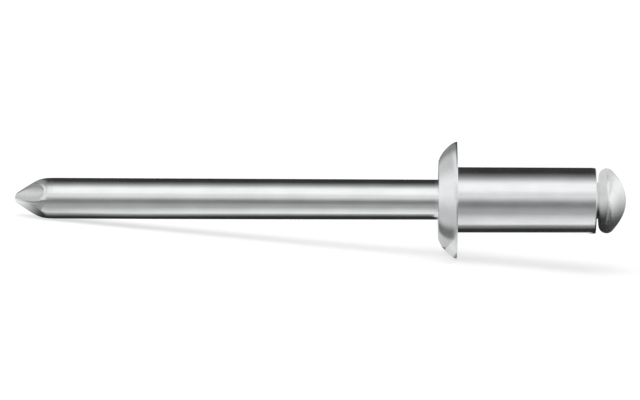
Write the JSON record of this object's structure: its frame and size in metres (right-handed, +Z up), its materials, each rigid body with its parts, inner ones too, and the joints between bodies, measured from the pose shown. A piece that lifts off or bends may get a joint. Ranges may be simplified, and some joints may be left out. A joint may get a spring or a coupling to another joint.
{
  "type": "blind rivet",
  "caption": "Unset dome-flanged blind rivet: a tubular aluminium body with a thin flange on a headed steel mandrel with a pinch-cut point.",
  "frame": {"origin": "on the floor, below the middle of the rivet as it lies at rest on the rim of its flange and the end of its mandrel", "axes": "+X from the pointed end towards the head, in plan; +Z up. The rivet's own axis lies in the XZ plane and rises 5.3 degrees towards +X"},
  "size_m": [0.0444, 0.0084, 0.0085],
  "materials": {
    "body_aluminium": "bright cold-headed aluminium, smooth, with faint forming marks",
    "mandrel_steel": "bright drawn steel wire with a thin zinc plating and faint marks along its length"
  },
  "bodies": {
    "root": {"rivet_body": "body_aluminium", "mandrel": "mandrel_steel"}
  },
  "joints": []
}
